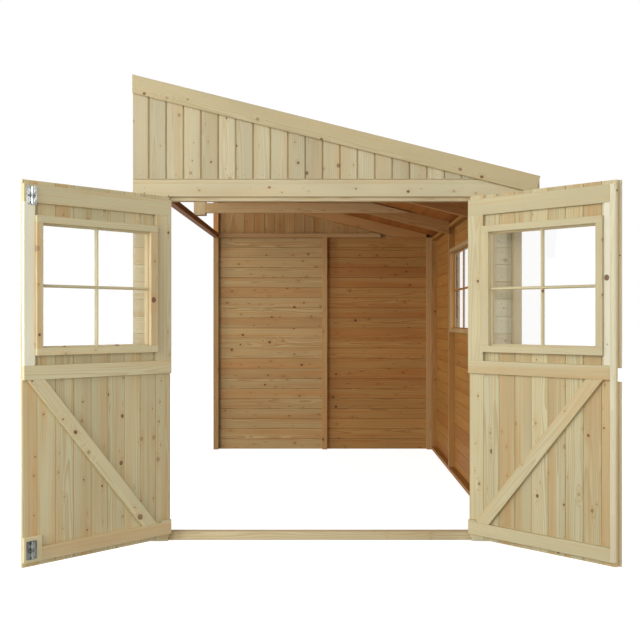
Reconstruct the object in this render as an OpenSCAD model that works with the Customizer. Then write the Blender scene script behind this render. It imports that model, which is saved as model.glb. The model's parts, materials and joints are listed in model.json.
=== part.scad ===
// Lean-to garden shed of planed spruce boards on a light frame.
// X runs across the front, Y runs into the shed and Z is up.
// The origin is on the ground, in the middle of the front wall, on the centre line of the front sill.

/* [Overall size] */
// Width over the front wall
shed_w = 2020; // [1900:10:2200]
// Depth between the faces of the front and back boards
shed_d = 3150; // [2900:10:3400]
// Height of the wall panels
wall_h = 1885; // [1850:5:2000]
// Slope of the roof, in degrees
roof_slope = 14; // [10:0.5:16]

/* [Timber] */
// Thickness of the tongue and groove boards
board_t = 16; // [12:1:20]
// Thickness of the barge boards, fascia and corner trims
trim_t = 18; // [12:1:20]
// Side of the square studs and rails
stud = 45; // [38:1:50]
// Height of the low rails at the foot and top of the side wall
rail_h = 28; // [22:1:34]
// Depth of the rafters, square to the slope
rafter_h = 90; // [70:5:100]

/* [Doorway] */
// Width of the front panel left of the doorway
left_panel_w = 182; // [150:1:220]
// Width of the doorway
doorway_w = 1580; // [1500:10:1600]
// Height of the sill under the doors
sill_h = 45; // [35:1:48]
// Height of the header board's lower edge
header_z = 1793; // [1760:1:1800]
// Height of the door stop's lower edge
stop_z = 1773; // [1745:1:1780]
// Gap round each door leaf
door_gap = 5; // [5:1:7]

/* [Doors] */
// Angle that the left leaf stands open at
left_open = 136; // [0:1:165]
// Angle that the right leaf stands open at
right_open = 137; // [0:1:165]
// Lower end of the door boards
leaf_z0 = 29; // [15:1:35]
// Thickness of the door rails, stiles and braces
ledge_t = 20; // [16:1:24]
// Width of the window opening in a leaf
leaf_window_w = 567; // [500:1:580]
// Distance of the window opening from the leaf's hinge side
leaf_window_x = 132; // [110:1:150]
// Height of the window opening in a leaf
leaf_window_h = 572; // [500:2:600]
// Height of the window's lower edge in a leaf
leaf_window_z = 1022; // [1010:1:1040]
// Distance of the hinge pins in front of the wall
hinge_off = 8; // [7:0.5:10]

/* [Side window] */
// Distance of the window opening behind the front wall's face
side_window_y = 1110; // [1110:5:1120]
// Width of the side window opening
side_window_w = 870; // [500:10:870]
// Height of the side window's lower edge
side_window_z = 1088; // [1000:2:1110]
// Height of the side window opening
side_window_h = 572; // [500:2:600]

/* [Hidden] */
$fn = 48;

// Planes of the front wall, from the face of the boards inwards
front_y = -(stud / 2 + door_gap + board_t);
front_frame_y = front_y + board_t;
front_inner_y = front_frame_y + stud;
// Planes of the back wall
back_y = front_y + shed_d;
back_frame_y = back_y - board_t;
back_inner_y = back_frame_y - stud;
// Planes of the side wall and of the open house side
house_x = -shed_w / 2;
house_inner_x = house_x + stud;
corner_x = shed_w / 2;
side_x = corner_x - trim_t;
side_frame_x = side_x - board_t;
side_inner_x = side_frame_x - stud;
// Edges of the doorway
door_x0 = house_x + left_panel_w;
door_x1 = door_x0 + doorway_w;

// Roof: slope, thicknesses measured straight up, and the eave
roof_tan = tan(roof_slope);
roof_t = board_t / cos(roof_slope);
roof_lift = 0.3;
rafter_t = rafter_h / cos(roof_slope);
barge_w = 92;
barge_t = barge_w / cos(roof_slope);
barge_rise = 24;
eave_x = side_x + 96;
fascia_h = 68;

// Bays of the side wall, from the front wall's face
bay_y1 = front_y + 1040;
bay_y2 = front_y + 2062;
// Rafters, ties and their hanger
rafter_ys = [front_y + 1040, front_y + 2040];
tie_z = 1962;
tie_h = 75;
tie_t = 28;
tie_y = rafter_ys[1] - stud / 2;
hanger_w = 89;
hanger_z = 1947;
house_rail_h = 40;
gable_rail_h = 36;
panel_gap = 2;
back_joint_x = -20;

// Leaf, measured from the hinge pin: x along the leaf, y inwards
leaf_w = (doorway_w - 3 * door_gap) / 2;
leaf_x0 = door_gap;
leaf_x1 = leaf_x0 + leaf_w;
leaf_in = hinge_off + board_t;
leaf_z1 = header_z - door_gap;
rail_z0 = sill_h + door_gap + 1;
rail_z1 = stop_z - door_gap;
low_rail_h = 64;
mid_rail_z = 878;
mid_rail_h = 66;
top_rail_h = 83;
brace_w = 64;
left_brace_x = [129, 726];
right_brace_x = [86, 690];
window_x0 = leaf_x0 + leaf_window_x;
window_x1 = window_x0 + leaf_window_w;
window_top = leaf_window_z + leaf_window_h;
surround_w = 33;
surround_hinge_w = 42;
surround_free_w = 31;
surround_t = 38;
pane_t = 3;
edge_strip_w = 22;
cover_w = 54;
cover_over = 14;
cover_gap_z = [870, 932];

// Hinges: a strap on the leaf, a plate on the wall and a pin between
hinge_zs = [83, 911, 1720];
knuckle_r = hinge_off - 0.5;
pin_r = 3;
pin_clear = 0.08;
plate_t = 4;
plate_w = 60;
plate_h = 60;
strap_l = 330;
strap_h = 30;
strap_root_h = strap_h - 2;
knuckle_gap = 0.5;
knuckle_arm = knuckle_r + 2;

// Barrel bolts on the left leaf
bolt_plate = [50, 3, 84];
bolt_r = 5;
bolt_lift = 9;
bolt_guide = [24, 16, 20];
bolt_edge = 35;
bolt_low_z = 66;
bolt_high_z = 1758;
// Pad under the lower bolt, at the end of the low rail
pad_w = 86;
pad_h = 115;

// Height of the roof boards' underside at x
function roof_z(x) = wall_h + (side_x - x) * roof_tan;

// A block between two corners
module block(low, high) {
    translate(low) cube(high - low);
}

// A flat outline in X and Z, given its thickness from y0 to y1
module upright(y0, y1) {
    translate([0, y1, 0]) rotate([90, 0, 0]) linear_extrude(height = y1 - y0) children();
}

// A band that follows the roof from x0 to x1, with both ends cut upright.
// low and high are measured straight up from the roof boards' underside.
module sloped_band(x0, x1, low, high) {
    polygon([
        [x0, roof_z(x0) + low], [x1, roof_z(x1) + low],
        [x1, roof_z(x1) + high], [x0, roof_z(x0) + high]
    ]);
}

// Gable outline between x0 and x1, from the wall top up to the roof
module gable_outline(x0, x1) {
    polygon([[x0, wall_h], [x1, wall_h], [x1, roof_z(x1)], [x0, roof_z(x0)]]);
}

// Puts a leaf's parts, drawn from the hinge pin, where the open leaf stands
module on_left_leaf() {
    translate([door_x0, front_y - hinge_off, 0]) rotate([0, 0, -left_open]) children();
}

module on_right_leaf() {
    translate([door_x1, front_y - hinge_off, 0]) rotate([0, 0, right_open])
        mirror([1, 0, 0]) children();
}

// ---- Front wall ----

module front_sill() {
    color("burlywood")
        block([door_x0, -stud / 2, 0], [door_x1, stud / 2, sill_h]);
}

module front_posts() {
    color("burlywood")
        for (x = [house_x, door_x0 - stud, door_x1, side_inner_x - stud])
            block([x, front_frame_y, 0], [x + stud, front_inner_y, stop_z]);
}

module front_left_boards() {
    color("wheat")
        block([house_x, front_y, 0], [door_x0, front_frame_y, header_z]);
}

module front_right_boards() {
    color("wheat")
        block([door_x1, front_y, 0], [side_x, front_frame_y, header_z]);
}

// An angle of two boards at each outer corner of the side wall
module corner_trims() {
    color("wheat") {
        block([side_x - 32, front_y - trim_t, 0], [corner_x, front_y, header_z]);
        block([side_x, front_y, 0], [corner_x, front_y + stud, header_z]);
        block([side_x - 32, back_y, 0], [corner_x, back_y + trim_t, header_z]);
        block([side_x, back_y - stud, 0], [corner_x, back_y, header_z]);
    }
}

// Beam over the doorway, rebated so that its lower edge is the door stop
module header_beam() {
    color("burlywood")
        difference() {
            block([house_x, front_frame_y, stop_z], [side_inner_x, stud / 2, wall_h]);
            block(
                [house_x - 1, front_frame_y - 1, stop_z - 1],
                [side_inner_x + 1, -stud / 2, header_z]
            );
        }
}

// Its top right corner is planed off to clear the roof boards
module header_board() {
    color("wheat")
        upright(front_y, front_frame_y)
            polygon([
                [house_x, header_z], [corner_x, header_z],
                [corner_x, roof_z(corner_x) - panel_gap], [side_x, wall_h - panel_gap],
                [house_x, wall_h - panel_gap]
            ]);
}

module front_gable_boards() {
    color("wheat")
        upright(front_y, front_frame_y) gable_outline(house_x, side_x - stud);
}

// Board along the roof's edge, cut upright at the house and square at the eave
module barge_board(y0) {
    low = roof_t + barge_rise - barge_t;
    high = roof_t + barge_rise;
    end_x = eave_x + trim_t;
    square_x = end_x - barge_w * sin(roof_slope);
    upright(y0, y0 + trim_t)
        polygon([
            [house_x, roof_z(house_x) + low], [square_x, roof_z(square_x) + low],
            [end_x, roof_z(end_x) + high], [house_x, roof_z(house_x) + high]
        ]);
}

module front_barge_board() {
    color("wheat") barge_board(front_y - trim_t);
}

module back_barge_board() {
    color("wheat") barge_board(back_y);
}

// ---- Gable frames and back wall ----

// The low rail of each gable frame, on top of the wall below it
module gable_rails() {
    gable_rail_x = side_x - (gable_rail_h + rafter_t) / roof_tan;
    color("burlywood")
        for (y = [front_frame_y, back_inner_y])
            block([house_inner_x, y, wall_h], [gable_rail_x, y + stud, wall_h + gable_rail_h]);
}

module back_studs() {
    color("peru")
        for (x = [house_x, back_joint_x - stud / 2, side_inner_x - stud])
            block([x, back_inner_y, 0], [x + stud, back_frame_y, wall_h]);
}

module back_left_boards() {
    color("peru")
        block([house_x, back_frame_y, 0], [back_joint_x - panel_gap / 2, back_y, wall_h]);
}

module back_right_boards() {
    color("peru")
        block([back_joint_x + panel_gap / 2, back_frame_y, 0], [side_x, back_y, wall_h]);
}

module back_gable_boards() {
    color("peru")
        upright(back_frame_y, back_y) {
            gable_outline(house_x, back_joint_x - panel_gap / 2);
            gable_outline(back_joint_x + panel_gap / 2, side_x - stud);
        }
}

// ---- Side wall ----

module side_boards(y0, y1) {
    block([side_frame_x, y0, 0], [side_x, y1, wall_h]);
}

// Cuts the side window's opening out of what it is given
module side_window_cut(grow) {
    translate([0, -grow, -grow])
        block(
            [side_inner_x - 50, front_y + side_window_y, side_window_z],
            [
                corner_x + 50,
                front_y + side_window_y + side_window_w + 2 * grow,
                side_window_z + side_window_h + 2 * grow
            ]
        );
}

module side_wall_front_boards() {
    color("tan") side_boards(front_frame_y, bay_y1 - panel_gap / 2);
}

module side_wall_window_boards() {
    color("tan")
        difference() {
            side_boards(bay_y1 + panel_gap / 2, bay_y2 - panel_gap / 2);
            side_window_cut(0);
        }
}

module side_wall_back_boards() {
    color("tan") side_boards(bay_y2 + panel_gap / 2, back_frame_y);
}

module side_wall_studs() {
    color("peru")
        for (y = [front_frame_y, bay_y1 - stud / 2, bay_y2 - stud / 2, back_inner_y])
            block([side_inner_x, y, 0], [side_frame_x, y + stud, wall_h]);
}

// Foot and top rails between the studs of the side wall
module side_wall_rails() {
    spans = [
        [front_inner_y, bay_y1 - stud / 2],
        [bay_y1 + stud / 2, bay_y2 - stud / 2],
        [bay_y2 + stud / 2, back_inner_y]
    ];
    color("peru")
        for (span = spans, z = [0, wall_h - rail_h])
            block([side_inner_x, span[0], z], [side_frame_x, span[1], z + rail_h]);
}

module side_window_frame() {
    color("tan")
        difference() {
            intersection() {
                block([side_inner_x, front_y, 0], [side_frame_x, back_y, wall_h]);
                side_window_cut(rail_h);
            }
            side_window_cut(0);
        }
}

module side_window_pane() {
    color("lightblue", 0.4)
        block(
            [side_frame_x - 12, front_y + side_window_y, side_window_z],
            [
                side_frame_x - 12 + pane_t,
                front_y + side_window_y + side_window_w,
                side_window_z + side_window_h
            ]
        );
}

// ---- Roof and its frame ----

module house_side_rail() {
    color("sienna")
        block([house_x, front_frame_y, wall_h], [house_inner_x, back_frame_y, wall_h + house_rail_h]);
}

module house_side_posts() {
    color("peru")
        for (y = [front_frame_y, back_inner_y])
            block(
                [house_x, y, wall_h + house_rail_h],
                [house_inner_x, y + stud, roof_z(house_inner_x) - rafter_t]
            );
}

module high_ledger() {
    low = roof_z(house_inner_x) - rafter_t;
    color("peru")
        upright(front_frame_y, back_frame_y)
            polygon([
                [house_x, low], [house_inner_x, low],
                [house_inner_x, roof_z(house_inner_x)], [house_x, roof_z(house_x)]
            ]);
}

// Two rafters close the gable frames, flat on the wall at their low ends, and two span the inside
module rafters() {
    low_end_x = side_inner_x - stud;
    seat_x = side_x - rafter_t / roof_tan;
    color("peru") {
        for (y = [front_frame_y, back_inner_y])
            upright(y, y + stud)
                polygon([
                    [house_inner_x, roof_z(house_inner_x) - rafter_t], [seat_x, wall_h],
                    [low_end_x, wall_h], [low_end_x, roof_z(low_end_x)],
                    [house_inner_x, roof_z(house_inner_x)]
                ]);
        for (y = rafter_ys)
            upright(y - stud / 2, y + stud / 2)
                sloped_band(house_inner_x, side_inner_x, -rafter_t, 0);
    }
}

module tie_beam() {
    tie_top = tie_z + tie_h;
    tie_x = house_x + hanger_w;
    color("peru")
        upright(tie_y - tie_t, tie_y)
            polygon([
                [tie_x, tie_z], [side_x - (tie_z + 8 - wall_h) / roof_tan, tie_z],
                [side_x - (tie_top + 8 - wall_h) / roof_tan, tie_top], [tie_x, tie_top]
            ]);
}

module hanger_post() {
    hanger_x = house_x + hanger_w;
    color("burlywood")
        upright(tie_y - tie_t, rafter_ys[1] + stud / 2)
            polygon([
                [house_x, hanger_z], [hanger_x, hanger_z],
                [hanger_x, roof_z(hanger_x) - rafter_t],
                [house_inner_x, roof_z(house_inner_x) - rafter_t],
                [house_x, roof_z(house_inner_x) - rafter_t]
            ]);
}

module roof_boards() {
    color("sienna")
        upright(front_y, back_y) sloped_band(house_x, eave_x, roof_lift, roof_lift + roof_t);
}

module eave_fascia() {
    top = roof_z(eave_x) + roof_lift + roof_t;
    color("wheat")
        block([eave_x, front_y, top - fascia_h], [eave_x + trim_t, back_y, top]);
}

// ---- Hinges ----

// The plate, its two knuckles and the pin, drawn with the wall on the -x side
module hinge_plates() {
    low = strap_h / 2 + knuckle_gap;
    for (z = hinge_zs)
        translate([0, 0, z]) {
            block(
                [-plate_w, hinge_off - plate_t, -plate_h / 2],
                [-knuckle_arm, hinge_off, plate_h / 2]
            );
            for (side = [0, 1])
                mirror([0, 0, side]) {
                    block(
                        [-plate_w, hinge_off - plate_t, low + 1],
                        [-pin_r - 1, hinge_off, plate_h / 2]
                    );
                    translate([0, 0, low]) cylinder(r = knuckle_r, h = plate_h / 2 - low);
                }
            cylinder(r = pin_r, h = plate_h, center = true);
        }
}

module left_hinge_plates() {
    color("silver")
        translate([door_x0, front_y - hinge_off, 0]) hinge_plates();
}

module right_hinge_plates() {
    color("silver")
        translate([door_x1, front_y - hinge_off, 0]) mirror([1, 0, 0]) hinge_plates();
}

// ---- Parts of a leaf, drawn from its hinge pin ----

module leaf_straps() {
    for (z = hinge_zs)
        difference() {
            union() {
                translate([0, 0, z]) cylinder(r = knuckle_r, h = strap_h, center = true);
                upright(hinge_off - plate_t, hinge_off)
                    polygon([
                        [pin_r + 1, z - strap_root_h / 2], [strap_l - 12, z - 9], [strap_l, z],
                        [strap_l - 12, z + 9], [pin_r + 1, z + strap_root_h / 2]
                    ]);
            }
            translate([0, 0, z]) cylinder(r = pin_r + pin_clear, h = strap_h + 2, center = true);
        }
}

module leaf_boards() {
    difference() {
        block([leaf_x0, hinge_off, leaf_z0], [leaf_x1, leaf_in, leaf_z1]);
        block([window_x0, 0, leaf_window_z], [window_x1, leaf_in + 1, window_top]);
    }
}

// Three rails that end at x1
module leaf_rails(x1) {
    for (rail = [
        [rail_z0, low_rail_h],
        [mid_rail_z, mid_rail_h],
        [rail_z1 - top_rail_h, top_rail_h]
    ])
        block([leaf_x0, leaf_in, rail[0]], [x1, leaf_in + ledge_t, rail[0] + rail[1]]);
}

// The stiles beside the window, between the middle and top rails
module leaf_stiles(x1) {
    for (span = [[leaf_x0, window_x0 - surround_hinge_w], [window_x1 + surround_free_w, x1]])
        block(
            [span[0], leaf_in, mid_rail_z + mid_rail_h],
            [span[1], leaf_in + ledge_t, rail_z1 - top_rail_h]
        );
}

// ends: where the brace's middle meets the low rail and the middle rail
module leaf_brace(ends) {
    z0 = rail_z0 + low_rail_h;
    run = ends[1] - ends[0];
    rise = mid_rail_z - z0;
    half = brace_w / 2 * norm([run, rise]) / rise;
    upright(leaf_in, leaf_in + ledge_t)
        polygon([
            [ends[0] - half, z0], [ends[0] + half, z0],
            [ends[1] + half, mid_rail_z], [ends[1] - half, mid_rail_z]
        ]);
}

module leaf_surround() {
    difference() {
        block(
            [window_x0 - surround_hinge_w, leaf_in, leaf_window_z - surround_w],
            [window_x1 + surround_free_w, leaf_in + surround_t, window_top + surround_w]
        );
        block(
            [window_x0, leaf_in - 1, leaf_window_z],
            [window_x1, leaf_in + surround_t + 1, window_top]
        );
    }
}

module leaf_pane() {
    block([window_x0, leaf_in + 2, leaf_window_z], [window_x1, leaf_in + 2 + pane_t, window_top]);
}

// A bolt on its plate, drawn at the foot of the leaf with the rod pointing down
module barrel_bolt() {
    translate([-bolt_plate[0] / 2, 0, 0]) cube(bolt_plate);
    for (z = [4, bolt_plate[2] - bolt_guide[2] - 4])
        translate([-bolt_guide[0] / 2, 0, z]) cube(bolt_guide);
    translate([0, bolt_lift, 2]) cylinder(r = bolt_r, h = bolt_plate[2] - 4);
}

module left_door_boards() {
    color("wheat") on_left_leaf() leaf_boards();
}

module left_door_rails() {
    color("burlywood")
        on_left_leaf() {
            leaf_rails(leaf_x1);
            block(
                [leaf_x1 - pad_w, leaf_in, rail_z0],
                [leaf_x1, leaf_in + ledge_t, rail_z0 + pad_h]
            );
        }
}

module left_door_stiles() {
    color("burlywood") on_left_leaf() leaf_stiles(leaf_x1);
}

module left_door_brace() {
    color("burlywood") on_left_leaf() leaf_brace(left_brace_x);
}

module left_door_surround() {
    color("wheat") on_left_leaf() leaf_surround();
}

module left_door_pane() {
    color("lightblue", 0.4) on_left_leaf() leaf_pane();
}

module left_door_straps() {
    color("silver") on_left_leaf() leaf_straps();
}

module left_door_bolts() {
    bolt_x = leaf_x1 - bolt_edge;
    bolt_y = leaf_in + ledge_t;
    color("silver")
        on_left_leaf() {
            translate([bolt_x, bolt_y, bolt_low_z]) barrel_bolt();
            translate([bolt_x, bolt_y, bolt_high_z]) mirror([0, 0, 1]) barrel_bolt();
        }
}

module right_door_boards() {
    color("wheat") on_right_leaf() leaf_boards();
}

module right_door_rails() {
    color("burlywood") on_right_leaf() leaf_rails(leaf_x1 - edge_strip_w);
}

module right_door_stiles() {
    color("burlywood") on_right_leaf() leaf_stiles(leaf_x1 - edge_strip_w);
}

module right_door_brace() {
    color("burlywood") on_right_leaf() leaf_brace(right_brace_x);
}

module right_door_surround() {
    color("wheat") on_right_leaf() leaf_surround();
}

module right_door_pane() {
    color("lightblue", 0.4) on_right_leaf() leaf_pane();
}

module right_door_straps() {
    color("silver") on_right_leaf() leaf_straps();
}

module right_door_edge_strip() {
    color("burlywood")
        on_right_leaf()
            block([leaf_x1 - edge_strip_w, leaf_in, rail_z0], [leaf_x1, leaf_in + ledge_t, rail_z1]);
}

// Two lengths of rebated strip that cover the gap between the leaves
module right_door_cover_strips() {
    x0 = leaf_x1 + cover_over - cover_w;
    color("wheat")
        on_right_leaf()
            for (span = [[leaf_z0, cover_gap_z[0]], [cover_gap_z[1], leaf_z1]])
                translate([0, 0, span[0]])
                    linear_extrude(height = span[1] - span[0])
                        polygon([
                            [x0, hinge_off], [x0, hinge_off - board_t],
                            [x0 + cover_w, hinge_off - board_t],
                            [x0 + cover_w, hinge_off - door_gap],
                            [leaf_x1, hinge_off - door_gap], [leaf_x1, hinge_off]
                        ]);
}

front_sill();
front_posts();
front_left_boards();
front_right_boards();
corner_trims();
header_beam();
header_board();
front_gable_boards();
front_barge_board();
gable_rails();
back_studs();
back_left_boards();
back_right_boards();
back_gable_boards();
back_barge_board();
side_wall_front_boards();
side_wall_window_boards();
side_wall_back_boards();
side_wall_studs();
side_wall_rails();
side_window_frame();
side_window_pane();
house_side_rail();
house_side_posts();
high_ledger();
rafters();
tie_beam();
hanger_post();
roof_boards();
eave_fascia();
left_hinge_plates();
right_hinge_plates();
left_door_boards();
left_door_rails();
left_door_stiles();
left_door_brace();
left_door_surround();
left_door_pane();
left_door_straps();
left_door_bolts();
right_door_boards();
right_door_rails();
right_door_stiles();
right_door_brace();
right_door_surround();
right_door_pane();
right_door_straps();
right_door_edge_strip();
right_door_cover_strips();
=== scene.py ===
import json
import math

import bpy
import numpy as np
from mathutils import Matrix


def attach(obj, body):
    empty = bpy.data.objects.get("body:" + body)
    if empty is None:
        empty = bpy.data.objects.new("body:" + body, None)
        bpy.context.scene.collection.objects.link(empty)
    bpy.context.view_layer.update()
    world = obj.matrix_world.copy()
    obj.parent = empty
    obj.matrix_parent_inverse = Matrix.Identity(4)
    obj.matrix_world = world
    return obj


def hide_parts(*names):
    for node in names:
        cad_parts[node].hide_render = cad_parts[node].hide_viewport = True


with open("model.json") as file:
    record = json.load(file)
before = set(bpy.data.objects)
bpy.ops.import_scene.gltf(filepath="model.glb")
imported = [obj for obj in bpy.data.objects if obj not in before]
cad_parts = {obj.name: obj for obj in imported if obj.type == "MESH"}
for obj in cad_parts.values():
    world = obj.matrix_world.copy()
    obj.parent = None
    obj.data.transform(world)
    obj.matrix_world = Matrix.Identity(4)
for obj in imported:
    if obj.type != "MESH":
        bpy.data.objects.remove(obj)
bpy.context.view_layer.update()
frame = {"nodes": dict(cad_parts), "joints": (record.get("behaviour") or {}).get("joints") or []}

rng = np.random.default_rng(41)

# ---- Camera ----

CAMERA_AT = (0.0, -4.4035, 1.151)
LENS_MM = 47.14
SHIFT_X = -0.0109375

camera_data = bpy.data.cameras.new("front_camera")
camera_data.sensor_width = 36
camera_data.lens = LENS_MM
camera_data.shift_x = SHIFT_X
camera = bpy.data.objects.new("front_camera", camera_data)
camera.location = CAMERA_AT
camera.rotation_euler = (math.radians(90), 0, 0)
bpy.context.scene.collection.objects.link(camera)
bpy.context.scene.camera = camera

# ---- Measures taken from the CAD frame ----

EASE = 0.0015
BOARD_COVER = 0.09
BOARD_T = 0.016
STUD = 0.045
RAFTER_H = 0.09
BARGE_W = 0.092


def node_points(node):
    """Every vertex of a CAD node, as an array with one row a point."""
    mesh = frame["nodes"][node].data
    points = np.empty(len(mesh.vertices) * 3, np.float32)
    mesh.vertices.foreach_get("co", points)
    return points.reshape(-1, 3).astype(float)


def seen_from(points, placing):
    """Points of the shed turned into a placing's own axes: inverse(axes) * (point - origin)."""
    return (points - placing[:3, 3]) @ np.linalg.inv(placing[:3, :3]).T


def span(node, placing=np.eye(4)):
    """Lowest and highest corner of a CAD node, in a placing's axes."""
    local = seen_from(node_points(node), placing)
    return local.min(0), local.max(0)


def solids(node, placing=np.eye(4)):
    """Lowest and highest corner of each separate solid of a CAD node, from the ground up.

    Points of one triangle take the lowest label among them, again and again, until no label moves.
    """
    mesh = frame["nodes"][node].data
    points = node_points(node)
    corners = np.empty(len(mesh.loops), np.int32)
    mesh.loops.foreach_get("vertex_index", corners)
    same = np.unique(np.round(points * 1e4).astype(int), axis=0, return_inverse=True)[1].ravel()
    triangles = same[corners].reshape(-1, 3)
    label = np.arange(same.max() + 1)
    moved = True
    while moved:
        after = label.copy()
        np.minimum.at(after, triangles.ravel(), np.repeat(label[triangles].min(1), 3))
        moved = (after != label).any()
        label = after
    local = seen_from(points, placing)
    part = label[same]
    boxes = [(local[part == k].min(0), local[part == k].max(0)) for k in np.unique(part)]
    return sorted(boxes, key=lambda box: (round(box[0][2], 3), box[0][1], box[0][0]))


def lay(origin, p_axis, q_axis, s_axis):
    """A placing: its columns are the axes across, out of and along a board, then its origin."""
    placing = np.eye(4)
    placing[:3, 0] = p_axis
    placing[:3, 1] = q_axis
    placing[:3, 2] = s_axis
    placing[:3, 3] = origin
    return placing


X = np.array([1.0, 0, 0])
Y = np.array([0, 1.0, 0])
Z = np.array([0, 0, 1.0])
AXES = (X, Y, Z)


def leaf_placing(joint_name):
    """Where an open leaf stands: x runs from the pin along the leaf, y inwards and z up.

    The leaf is turned from shut by the low end of its joint's range.
    """
    joint = next(j for j in frame["joints"] if j["name"] == joint_name)
    side = -joint["axis"][2]
    turn = side * math.radians(joint["range_deg"][0])
    pin = np.array([joint["pos_m"][0], joint["pos_m"][1], 0])
    along = side * np.array([math.cos(turn), math.sin(turn), 0])
    inward = np.array([-math.sin(turn), math.cos(turn), 0])
    return lay(pin, along, inward, Z)


LEFT_LEAF = leaf_placing("left_door_hinge")
RIGHT_LEAF = leaf_placing("right_door_hinge")

left_lo, left_hi = span("front_left_boards")
right_lo, right_hi = span("front_right_boards")
gable_lo, gable_hi = span("front_gable_boards")
header_lo, header_hi = span("header_board")
roof_lo, roof_hi = span("roof_boards")
back_lo, back_hi = span("back_left_boards")
back_right_lo, back_right_hi = span("back_right_boards")
ledger_lo, ledger_hi = span("high_ledger")

FRONT_Y = left_lo[1]
FRONT_FRAME_Y = left_hi[1]
BACK_FRAME_Y = back_lo[1]
BACK_Y = back_hi[1]
HOUSE_X = left_lo[0]
HOUSE_INNER_X = ledger_hi[0]
SIDE_X = right_hi[0]
SIDE_FRAME_X = SIDE_X - BOARD_T
CORNER_X = header_hi[0]
WALL_TOP = gable_lo[2]
HEADER_Z = header_lo[2]
ROOF_TAN = (gable_hi[2] - WALL_TOP) / (SIDE_X - HOUSE_X)
ROOF_ANGLE = math.atan(ROOF_TAN)
RAFTER_T = RAFTER_H / math.cos(ROOF_ANGLE)
ROOF_GAP = 0.0005


def roof_z(x):
    """Height of the roof boards' underside: the wall's top plus the slope times the run to x."""
    return WALL_TOP + (SIDE_X - x) * ROOF_TAN


# ---- Shapes ----


class Stack:
    """Closed shapes gathered into one mesh, each with its grain and its finish."""

    def __init__(self, placing=np.eye(4)):
        self.placing = placing
        self.points = []
        self.grain = []
        self.finish = []
        self.faces = []
        self.count = 0

    def add(self, rings, placing, grain, finish):
        """Skins a closed outline carried through its rings, with a cap on each end.

        rings has the shape (rings, points round, 3). Faces turn over where the placing mirrors.
        """
        matrix = self.placing @ placing
        rows, around = rings.shape[:2]
        index = self.count + np.arange(rows * around).reshape(rows, around)
        beside = np.roll(index, -1, axis=1)
        quads = np.stack([index[:-1], beside[:-1], beside[1:], index[1:]], -1).reshape(-1, 4)
        caps = [index[0][::-1], index[-1]]
        if np.linalg.det(matrix[:3, :3]) < 0:
            quads = quads[:, ::-1]
            caps = [cap[::-1] for cap in caps]
        self.faces += quads.tolist()
        self.faces += [cap.tolist() for cap in caps]
        self.points.append(rings.reshape(-1, 3) @ matrix[:3, :3].T + matrix[:3, 3])
        self.grain.append(np.broadcast_to(grain, rings.shape).reshape(-1, 3))
        self.finish.append(np.broadcast_to(finish, rings.shape).reshape(-1, 3))
        self.count += rows * around


def anticlockwise(outline):
    """The outline, turned round if its area, half the sum of cross products, is negative."""
    after = np.roll(outline, -1, axis=0)
    area = (outline[:, 0] * after[:, 1] - outline[:, 1] * after[:, 0]).sum()
    return outline if area > 0 else outline[::-1]


def inset(outline, depth):
    """Each corner moved inwards by depth * (n1 + n2) / (1 + n1.n2), n1 and n2 its sides' normals."""
    ahead = np.roll(outline, -1, axis=0) - outline
    ahead = ahead / np.linalg.norm(ahead, axis=1, keepdims=True)
    normal = np.stack([-ahead[:, 1], ahead[:, 0]], -1)
    before = np.roll(normal, 1, axis=0)
    spread = 1 + (normal * before).sum(1, keepdims=True)
    return outline + depth * (normal + before) / spread


def new_stick():
    """Chance values of one stick: where it was cut from the log, and how dark it is."""
    return {
        "from": np.array([
            rng.uniform(0, 60),
            rng.uniform(-0.07, 0.07),
            rng.uniform(0.02, 0.09) * rng.choice([-1, 1])
        ]),
        "tone": rng.uniform(0, 1),
    }


def toned_stick(tone):
    """A stick of chosen tone: 0 to 1 is the usual run, lower is darker and higher is paler."""
    stick = new_stick()
    stick["tone"] = tone
    return stick


def carry(stack, outline, start, stop, placing, stick, amber=0.0, groove=0.0, slope=0.0):
    """An outline carried straight from start to stop, its far end at stop + slope * across."""
    outline = np.asarray(outline, float)
    near = np.full(len(outline), start)
    far = stop + slope * outline[:, 0]
    rings = np.stack([np.column_stack([outline, near]), np.column_stack([outline, far])])
    middle = outline[:, 0].mean()
    grain = np.stack([rings[..., 2], rings[..., 0] - middle, rings[..., 1]], -1) + stick["from"]
    finish = np.empty(rings.shape)
    finish[..., 0] = stick["tone"]
    # The second value is painted shade: how far the colour is darkened and warmed towards its shade
    # colour.
    finish[..., 1] = amber
    finish[..., 2] = groove
    stack.add(rings, placing, grain, finish)


def stepped(outlines, heights):
    """Rings of one outline after another, each level at its own height."""
    return np.stack([
        np.column_stack([outline, np.full(len(outline), height)])
        for outline, height in zip(outlines, heights)
    ])


def rounded(width, height, radius, steps=4):
    """Outline with round corners: centre + radius * (cos a, sin a) at each corner."""
    quarter = np.repeat(np.arange(4), steps)
    angle = np.radians(quarter * 90 + np.tile(np.linspace(0, 90, steps), 4))
    signs = np.array([[1, 1], [-1, 1], [-1, -1], [1, -1]])[quarter]
    core = np.array([width / 2 - radius, height / 2 - radius])
    return signs * core + radius * np.column_stack([np.cos(angle), np.sin(angle)])


def eased_box(stack, low, high, along, stick=None, amber=0.0, ease=EASE, placing=np.eye(4)):
    """A squared timber from corner to corner, its arrises rounded to a radius of ease.

    The section shrinks by 0.6 * ease at both ends.
    """
    stick = stick or new_stick()
    low = np.asarray(low, float)
    high = np.asarray(high, float)
    p, q = [k for k in range(3) if k != along]
    size = (high - low)[[p, q]]
    length = high[along] - low[along]
    section = rounded(*size, ease, 3)
    small = section * (size / 2 - 0.6 * ease) / (size / 2)
    rings = stepped((small, section, section, small), (0, ease, length - ease, length))
    origin = (low + high) / 2
    origin[along] = low[along]
    grain = rings[..., [2, 0, 1]] + stick["from"]
    finish = np.array([stick["tone"], amber, 0.0])
    stack.add(rings, placing @ lay(origin, AXES[p], AXES[q], AXES[along]), grain, finish)


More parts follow.
